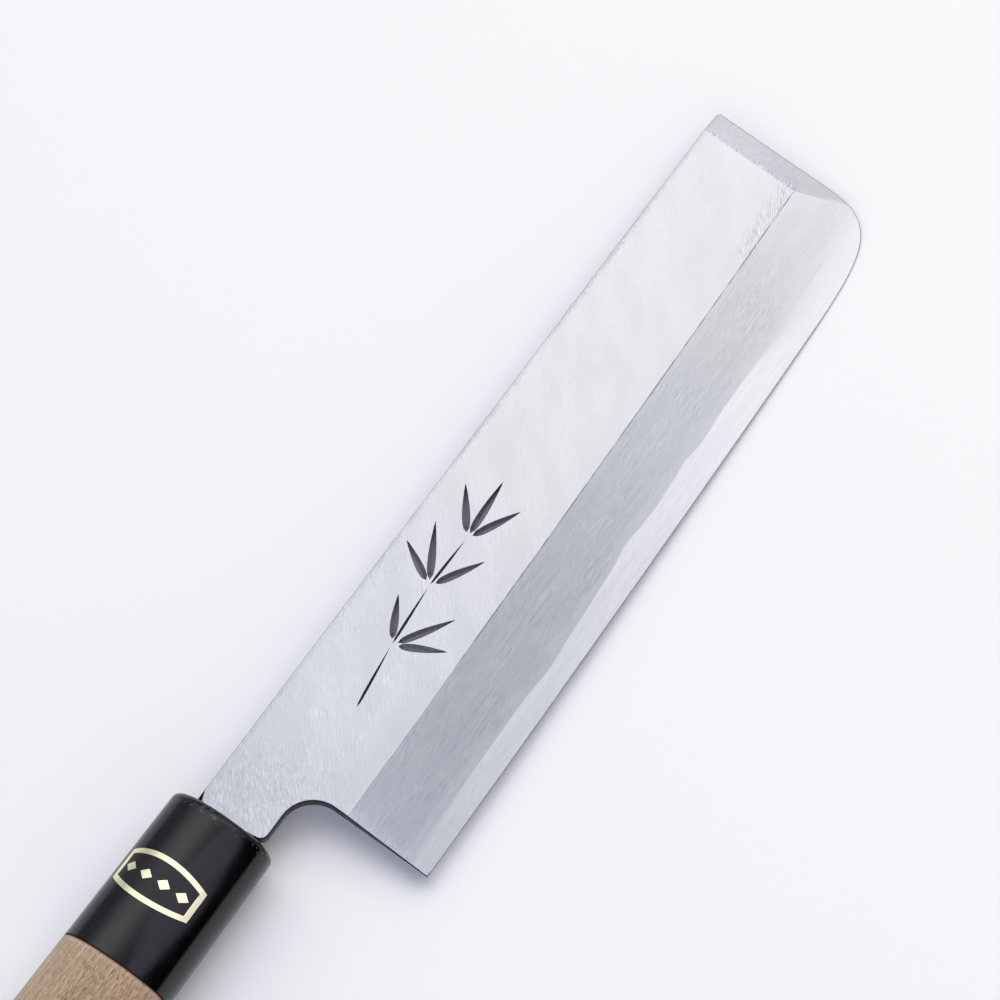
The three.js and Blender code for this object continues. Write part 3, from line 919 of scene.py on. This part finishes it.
def crease_lines():
    """The ridge of the bevel, the inner line of the tip's bevel and the line between the two bevels."""
    corner = Vector((TIP_X - TIP_BEVEL_WIDTH, 0))
    for _ in range(CORNER_PASSES):
        corner.y = ridge_y(corner.x)
        corner.x = tip_x(corner.y) - TIP_BEVEL_WIDTH
    yield [Vector((x, ridge_y(x))) for x in stations(HEEL_X - BEYOND, corner.x, STATION)]
    yield [Vector((tip_x(y) - TIP_BEVEL_WIDTH, y)) for y in stations(corner.y, SPINE_Y + BEYOND, STATION)]
    lean = math.tan(TIP_BEVEL_ANGLE) * math.sin(TIP_LEAN)
    between = []
    for x in stations(corner.x, CREASE_END, CREASE_STEP):
        apart = tip_bevel_z(x, 0) - bevel_z(x, 0)
        between.append(Vector((x, apart / (bevel_slope(x) - lean))))
    yield between


def blade_plan():
    plan = Plan()
    neck = neck_line()
    spine = spine_line()
    plan.line(tang_line() + neck + edge_line() + spine, closed=True)
    for share in RIM_STEPS:
        plan.line(inset(neck, RIM_RADIUS * share))
        plan.line(inset(spine[1:], RIM_RADIUS * share))
    for crease in crease_lines():
        plan.line(crease)
    weld = stations(HEEL_X - BEYOND, CREASE_END, CREASE_STEP)
    plan.line([Vector((x, edge_y(x) + steel_line(x))) for x in weld])
    plan.line([Vector((STEEL_START, SPINE_Y + BEYOND)), Vector((STEEL_START, NECK_Y - BEYOND))])
    for outline, floor in sprig_strokes():
        plan.line(outline, closed=True)
        plan.line(floor, depth=STROKE_DEPTH)
    rows = stations(0, HEEL_HEIGHT, GRID)
    grid = [
        Vector((x, SPINE_Y - row))
        for x in stations(SHOULDER_GAP, TIP_X, GRID)
        for row in rows
        if x > heel_x(SPINE_Y - row) or SPINE_Y - row > NECK_Y
    ]
    plan.fill(grid, GRID_CLEARANCE)
    return plan.triangulate(), (neck, spine[1:])


def plate(points, triangles, top, bottoms, group):
    """A closed shell over triangles of a plan. group gives each triangle's number in bottoms, the
    heights of its underside, and a step between two undersides is closed by a wall."""
    vertices, faces, kinds = [], [], []
    index = {}

    def vertex(i, level):
        if (i, level) not in index:
            index[i, level] = len(vertices)
            height = top[i] if level == "top" else bottoms[level][i]
            vertices.append((*points[i], height))
        return index[i, level]

    sides = {}
    for number, triangle in enumerate(triangles):
        level = group(triangle)
        faces.append([vertex(i, "top") for i in triangle])
        kinds.append(("top", number))
        faces.append([vertex(i, level) for i in reversed(triangle)])
        kinds.append(("bottom", number))
        for i, j in zip(triangle, (*triangle[1:], triangle[0])):
            sides.setdefault(frozenset((i, j)), []).append((i, j, level, number))
    for uses in sides.values():
        i, j, level, number = uses[0]
        other = "top" if len(uses) == 1 else uses[1][2]
        if other != level:
            faces.append([vertex(i, level), vertex(j, level), vertex(j, other), vertex(i, other)])
            kinds.append(("wall", number))
    return vertices, faces, kinds


RIM, CHISEL = 3, 4  # the iron's finishes after those of the flat, the bevel and the tip bevel


def blade():
    (points, triangles, depths), rims = blade_plan()
    drops = [rim_drop(rims, x, y) for x, y in points]
    front = [front_z(x, y) - drop - depth for (x, y), drop, depth in zip(points, drops, depths)]
    back = [back_z(x, y) + drop for (x, y), drop in zip(points, drops)]
    layer = [min(layer_z(x), height) for (x, _), height in zip(points, front)]
    middles = {}
    for triangle in map(tuple, triangles):
        middles[triangle] = sum((points[i] for i in triangle), Vector((0, 0))) / 3
    cut = {triangle: any(depths[i] for i in triangle) for triangle in middles}

    def on_dark_rim(triangle):
        # painted shade: the walls' black reaches over the neck's and heel's eased rim here
        x, y = middles[triangle]
        by_heel = SHOULDER_GAP < x < HEEL_X + CHOIL_RADIUS and y < 0
        return by_heel and distance_to(rims[0], x, y) < DARK_RIM

    def zone(triangle):
        x, y = middles[triangle]
        if cut[triangle]:
            return CHISEL
        if on_dark_rim(triangle):
            return RIM
        heights = (flat_z(x), bevel_z(x, y), tip_bevel_z(x, y))
        return heights.index(min(heights))

    def is_iron(triangle):
        x, y = middles[triangle]
        return x < STEEL_START or front_z(x, y) > layer_z(x)

    iron = [triangle for triangle in middles if is_iron(triangle)]
    vertices, faces, kinds = plate(
        points, iron, front, (back, layer), lambda t: int(middles[t].x > STEEL_START)
    )
    looks = [flat_finish(), bevel_finish(), tip_finish(), rim_finish(), chisel_finish()]
    zones = [zone(iron[number]) if kind == "top" else RIM for kind, number in kinds]
    body = make_piece(
        "laminated_blade_iron", "blade_iron", vertices, faces, zones, looks, BLADE_SHARP
    )

    steel = [t for t in middles if middles[t].x > STEEL_START]
    vertices, faces, kinds = plate(points, steel, layer, (back,), lambda t: 0)
    places = ("top", "bottom", "wall")
    zones = [places.index("wall" if on_dark_rim(steel[number]) else kind) for kind, number in kinds]
    looks = [edge_finish(), back_finish(), looks[RIM]]
    edge = make_piece(
        "hard_steel_edge", "blade_edge_steel", vertices, faces, zones, looks, BLADE_SHARP
    )
    cutting = [on_edge(HEEL_X), *edge_line(), spine_line()[0]]
    for piece in (body, edge):
        note(piece, "from_ridge", lambda x, y: y - ridge_y(x))
        note(piece, "from_steel", lambda x, y: y - edge_y(x) - steel_line(x))
        note(piece, "from_heel", lambda x, y: x - heel_x(y))
        note(piece, "from_cut", lambda x, y: from_cut(cutting, x, y))
        note(piece, "into_tip", into_tip)
        note(piece, "under_bevel", lambda x, y: bevel_z(x, y) - tip_bevel_z(x, y))


# Handle


def grip_half(axis, x):
    return lerp(FRONT_SIZE[axis], BUTT_SIZE[axis], -x / HANDLE_LENGTH) / 2


def grip_point(x, angle, growth):
    turn = abs(angle - RIDGE_ANGLE) % (2 * math.pi)
    away = min(turn, 2 * math.pi - turn)
    softened = math.hypot(away, RIDGE_SOFTNESS) - RIDGE_SOFTNESS
    swell = 1 + RIDGE_RISE * max(0, 1 - softened / RIDGE_REACH) ** 2
    y = (grip_half(0, x) + growth) * swell * math.cos(angle)
    z = (grip_half(1, x) + growth) * swell * math.sin(angle)
    return (x, y, z)


def angles():
    return [RIDGE_ANGLE + 2 * math.pi * i / RING_POINTS for i in range(RING_POINTS)]


def grip_ring(x, growth=0.0):
    return [grip_point(x, angle, growth) for angle in angles()]


def round_ring(x, radius):
    return [(x, radius * math.cos(angle), radius * math.sin(angle)) for angle in angles()]


def socket_ring(x):
    """The tang's socket at a station, as points in the directions of the other rings."""
    ring = []
    for angle in angles():
        across = (tang_half(TANG_HEIGHTS, x) + SOCKET_MARGIN) / max(abs(math.cos(angle)), TINY)
        deep = (tang_half(TANG_THICKNESSES, x) + SOCKET_MARGIN) / max(abs(math.sin(angle)), TINY)
        reach = min(across, deep)
        ring.append((x, reach * math.cos(angle), reach * math.sin(angle)))
    return ring


def rim_rings(x, inward, radius):
    """Rings of a rounded rim whose flat end is at x and whose body lies towards inward."""
    rings = []
    for i in range(RIM_RINGS + 1):
        turn = math.pi / 2 * i / RIM_RINGS
        rings.append(grip_ring(x + inward * radius * (1 - math.cos(turn)), radius * (math.sin(turn) - 1)))
    return rings


def ring_faces(rings, closed):
    """Faces between rings in a row, which run home to the first ring or end in a flat cap at each end."""
    count = len(rings[0])
    faces = []
    for row in range(len(rings) if closed else len(rings) - 1):
        first = row * count
        second = (row + 1) % len(rings) * count
        for i in range(count):
            j = (i + 1) % count
            faces.append([first + i, first + j, second + j, second + i])
    if not closed:
        faces.append(list(range(count)))
        faces.append([(len(rings) - 1) * count + i for i in range(count)])
    return faces


def ring_piece(name, node, rings, closed, finishes):
    """A piece from rings in a row. The last of the finishes is on its last face."""
    points = [point for ring in rings for point in ring]
    faces = ring_faces(rings, closed)
    zones = [0] * (len(faces) - 1) + [len(finishes) - 1]
    make_piece(name, node, points, faces, zones, finishes)


def ferrule():
    bore = TENON_DIAMETER / 2 + GLUE_GAP
    rings = [round_ring(-FERRULE_LENGTH, bore), round_ring(TENON_END + GLUE_GAP, bore)]
    rings += [socket_ring(TENON_END + GLUE_GAP), socket_ring(0)]
    rings += rim_rings(0, -1, FERRULE_ROUND)
    rings += [grip_ring(x) for x in stations(-2 * FERRULE_ROUND, -FERRULE_LENGTH, STATION)]
    ring_piece("buffalo_horn_ferrule", "horn_ferrule", rings, True, [horn_finish()])


def grip():
    joint = -FERRULE_LENGTH - GLUE_GAP
    rings = [socket_ring(SOCKET_END), socket_ring(TENON_END)]
    rings += [round_ring(TENON_END, TENON_DIAMETER / 2), round_ring(joint, TENON_DIAMETER / 2)]
    rings += [grip_ring(joint, -JOINT_EASE), grip_ring(joint - JOINT_EASE)]
    rings += [grip_ring(x) for x in stations(joint - STATION, BUTT_ROUND * 2 - HANDLE_LENGTH, STATION)]
    rings += reversed(rim_rings(-HANDLE_LENGTH, 1, BUTT_ROUND))
    looks = [wood_finish(), end_grain_finish()]
    ring_piece("magnolia_grip", "handle_grip", rings, False, looks)


def label_point(along, angle, height):
    return grip_point(LABEL_CENTRE + along, angle, height)


def label_half(angle):
    across = 2 * (angle - LABEL_ARC[0]) / (LABEL_ARC[1] - LABEL_ARC[0]) - 1
    return lerp(LABEL_WIDTHS[1], LABEL_WIDTHS[0], across**2) / 2


GOLD, FIELD = range(2)  # the label's finishes


def label_sheet():
    """The label's points, faces and zones: a frame that stands over a field."""
    band, step = FRAME_END_BAND / LABEL_RADIUS, FRAME_STEP / LABEL_RADIUS
    low, high = LABEL_ARC
    inner = stations(low + band + step, high - band - step, (high - low) / LABEL_ROWS)
    points, faces, zones, rows = [], [], [], []
    for angle in (low, low + band, *inner, high - band, high):
        half = label_half(angle)
        inside = half - FRAME_BAND
        field = inside - FRAME_STEP
        rows.append([])
        for along in (-half, -inside, -field, -field / 3, field / 3, field, inside, half):
            framed = abs(along) > field or not inner[0] <= angle <= inner[-1]
            rows[-1].append((len(points), framed))
            points.append(label_point(along, angle, LABEL_HEIGHT if framed else FIELD_HEIGHT))
            points.append(label_point(along, angle, LABEL_GAP))
    for upper, lower in zip(rows, rows[1:]):
        for corners in zip(upper, upper[1:], lower[1:], lower):
            faces.append([i for i, _ in corners])
            zones.append(GOLD if any(framed for _, framed in corners) else FIELD)
            faces.append([i + 1 for i, _ in reversed(corners)])
            zones.append(FIELD)
    for side in (rows[0], rows[-1], [row[0] for row in rows], [row[-1] for row in rows]):
        for (i, _), (j, _) in zip(side, side[1:]):
            faces.append([i, i + 1, j + 1, j])
            zones.append(GOLD)
    return points, faces, zones


def add_lozenge(number, points, faces):
    middle = sum(LABEL_ARC) / 2 + (number - (LOZENGE_COUNT - 1) / 2) * LOZENGE_PITCH / LABEL_RADIUS
    foot = [len(points) + i for i in range(LOZENGE_POINTS)]
    for rise in (LOZENGE_FOOT, LOZENGE_RIM):
        for i in range(LOZENGE_POINTS):
            run = heading(2 * math.pi * i / LOZENGE_POINTS)
            reach = 1 / (abs(run.x) + abs(run.y))
            along = LOZENGE_SIZE[0] / 2 * reach * run.x
            across = LOZENGE_SIZE[1] / 2 * reach * run.y / LABEL_RADIUS
            points.append(label_point(along, middle + across, FIELD_HEIGHT + rise))
    points.append(label_point(0, middle, LABEL_HEIGHT))
    faces.append(foot)
    for i, j in zip(foot, foot[1:] + foot[:1]):
        faces.append([i, j, j + LOZENGE_POINTS, i + LOZENGE_POINTS])
        faces.append([i + LOZENGE_POINTS, j + LOZENGE_POINTS, len(points) - 1])


def label():
    points, faces, zones = label_sheet()
    for number in range(LOZENGE_COUNT):
        add_lozenge(number, points, faces)
    zones += [GOLD] * (len(faces) - len(zones))
    looks = [gold_finish(), field_finish()]
    make_piece("foil_label", "ferrule_label", points, faces, zones, looks)


blade()
ferrule()
grip()
label()

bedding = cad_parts["tang_bedding"]
bedding.data.materials.clear()
bedding.data.materials.append(resin_finish())


# Stage


def table():
    mesh = bpy.data.meshes.new("table_top")
    half = TABLE_SIZE / 2
    corners = [(-half, -half, 0), (half, -half, 0), (half, half, 0), (-half, half, 0)]
    mesh.from_pydata(corners, [], [(0, 1, 2, 3)])
    look = Finish("white_table", Roughness=0.9, Specular_IOR_Level=0.1)
    shade = look.add("ShaderNodeAmbientOcclusion", samples=SHADE_SAMPLES)
    shade.inputs["Distance"].default_value = SHADE_REACH
    openness = shade.outputs["AO"]
    # painted shade: a bluish tint where the table sees less of the room, and a paler tone close to the
    # knife
    look.base(look.ramp(openness, *SHADE_OPEN), SHADE_COLOUR, TABLE_COLOUR)
    look.coat(look.fade(openness, *SHADE_DEEP), CONTACT_COLOUR)
    mesh.materials.append(look.paint())
    top = add_object("table_top", mesh)
    turn = Vector((0, 0, 1)).rotation_difference(TABLE_NORMAL)
    top.matrix_world = Matrix.Translation(TABLE_NORMAL * TABLE_HEIGHT) @ turn.to_matrix().to_4x4()


def picture_vector(right, up, out):
    return PICTURE_RIGHT * right + PICTURE_UP * up + PICTURE_OUT * out


def camera():
    back = picture_vector(0, -math.sin(CAMERA_TILT), math.cos(CAMERA_TILT))
    data = bpy.data.cameras.new("camera")
    data.lens = LENS
    data.sensor_width = SENSOR
    data.clip_end = CAMERA_REACH
    eye = add_object("camera", data)
    axes = Matrix((PICTURE_RIGHT, back.cross(PICTURE_RIGHT), back)).transposed()
    eye.matrix_world = Matrix.Translation(place(PICTURE_CENTRE) + back * CAMERA_DISTANCE) @ axes.to_4x4()
    bpy.context.scene.camera = eye


LAMP_PLACE = (0.33, 0.47, 1.15)  # right, up and out of the picture, from its centre
LAMP_SIZE = (1.5, 1.5)
LAMP_POWER = 9.1
LAMP_COLOUR = (1, 0.98, 0.755)
STRIP_PLACE = (-0.005, -0.0195, 0.0675)  # a small strip over the ferrule, which only gloss shows
STRIP_TARGET = (-0.018, -0.009, 0.0095)
STRIP_SIZE = (0.046, 0.042)
STRIP_POWER = 0.0059
STRIP_COLOUR = (0.94, 0.89, 1.14)
ROOM_COLOUR = (0.338, 0.345, 0.443)
ROOM_FOOT = (-0.62, -0.36)  # the room is lighter below the picture, past these heights in it
ROOM_FOOT_LEVEL = 2.1
# The softbox that the blade mirrors: its level by height in the picture, -1 to 1, and its soft sides
SOFTBOX_STOPS = (
    (0.12, 0), (0.18, 0.18), (0.24, 0.5), (0.3, 1.0), (0.36, 1.54),
    (0.42, 1.81), (0.5, 1.73), (0.6, 1.26), (0.75, 0.63), (0.95, 0),
)
SOFTBOX_SIDES = (0.45, 0.7)
SOFTBOX_COLOUR = (1, 1, 1)
FLAG_DIRECTION = (0.69, -0.26, 0.66)
FLAG_REACH = (0.88, 0.97)  # cosines at which the dark flag begins and is full
FLAG_SHADE = 0.95


def area_lamp(name, at, target, size, power, colour):
    data = bpy.data.lights.new(name, "AREA")
    data.shape = "RECTANGLE"
    data.size, data.size_y = size
    data.energy = power
    data.color = colour
    box = add_object(name, data)
    box.location = at
    box.rotation_mode = "QUATERNION"
    box.rotation_quaternion = (target - at).to_track_quat("-Z", "Y")
    box.visible_camera = False
    return box


def lamps():
    middle = place(PICTURE_CENTRE)
    over = middle + picture_vector(*LAMP_PLACE)
    window = area_lamp("window_softbox", over, middle, LAMP_SIZE, LAMP_POWER, LAMP_COLOUR)
    window.visible_glossy = False
    near = KNIFE_ORIGIN + Vector(STRIP_PLACE)
    target = KNIFE_ORIGIN + Vector(STRIP_TARGET)
    strip = area_lamp("ferrule_strip", near, target, STRIP_SIZE, STRIP_POWER, STRIP_COLOUR)
    strip.visible_diffuse = False


def room():
    """A room with a lighter foot, a softbox over the picture's upper half and a dark flag on its right."""
    world = bpy.data.worlds.new("studio")
    bpy.context.scene.world = world
    world.use_nodes = True
    nodes = Nodes(world.node_tree)
    direction = nodes.add("ShaderNodeTexCoord").outputs["Generated"]

    def along(vector):
        dot = nodes.add("ShaderNodeVectorMath", operation="DOT_PRODUCT")
        nodes.feed(dot.inputs[0], direction)
        nodes.feed(dot.inputs[1], vector.normalized())
        return dot.outputs["Value"]

    levels = nodes.add("ShaderNodeValToRGB")
    stops = levels.color_ramp.elements
    brightest = max(level for _, level in SOFTBOX_STOPS)
    for height, level in SOFTBOX_STOPS:
        share = level / brightest
        stops.new((height + 1) / 2).color = (share, share, share, 1)
    for stop in (stops[0], stops[-1]):
        stop.color = (0, 0, 0, 1)
    nodes.feed(levels.inputs[0], nodes.math("MULTIPLY_ADD", along(PICTURE_UP), 0.5, 0.5))
    sides = nodes.ramp(nodes.math("ABSOLUTE", along(PICTURE_RIGHT)), *SOFTBOX_SIDES, brightest, 0)
    flag = nodes.ramp(along(picture_vector(*FLAG_DIRECTION)), *FLAG_REACH, 1, 1 - FLAG_SHADE)
    foot = nodes.ramp(along(PICTURE_UP), *ROOM_FOOT, ROOM_FOOT_LEVEL, 1)
    walls = nodes.tree.nodes["Background"]
    softbox = nodes.add("ShaderNodeBackground")
    nodes.feed(walls.inputs["Strength"], nodes.times(foot, flag))
    nodes.feed(softbox.inputs["Strength"], nodes.times(levels.outputs[0], nodes.times(sides, flag)))
    both = nodes.add("ShaderNodeAddShader")
    for socket, source, colour in zip(both.inputs, (walls, softbox), (ROOM_COLOUR, SOFTBOX_COLOUR)):
        source.inputs["Color"].default_value = (*colour, 1)
        nodes.feed(socket, source.outputs[0])
    nodes.feed(nodes.tree.nodes["World Output"].inputs["Surface"], both.outputs[0])


table()
camera()
lamps()
room()
bpy.context.scene.view_settings.view_transform = "Standard"
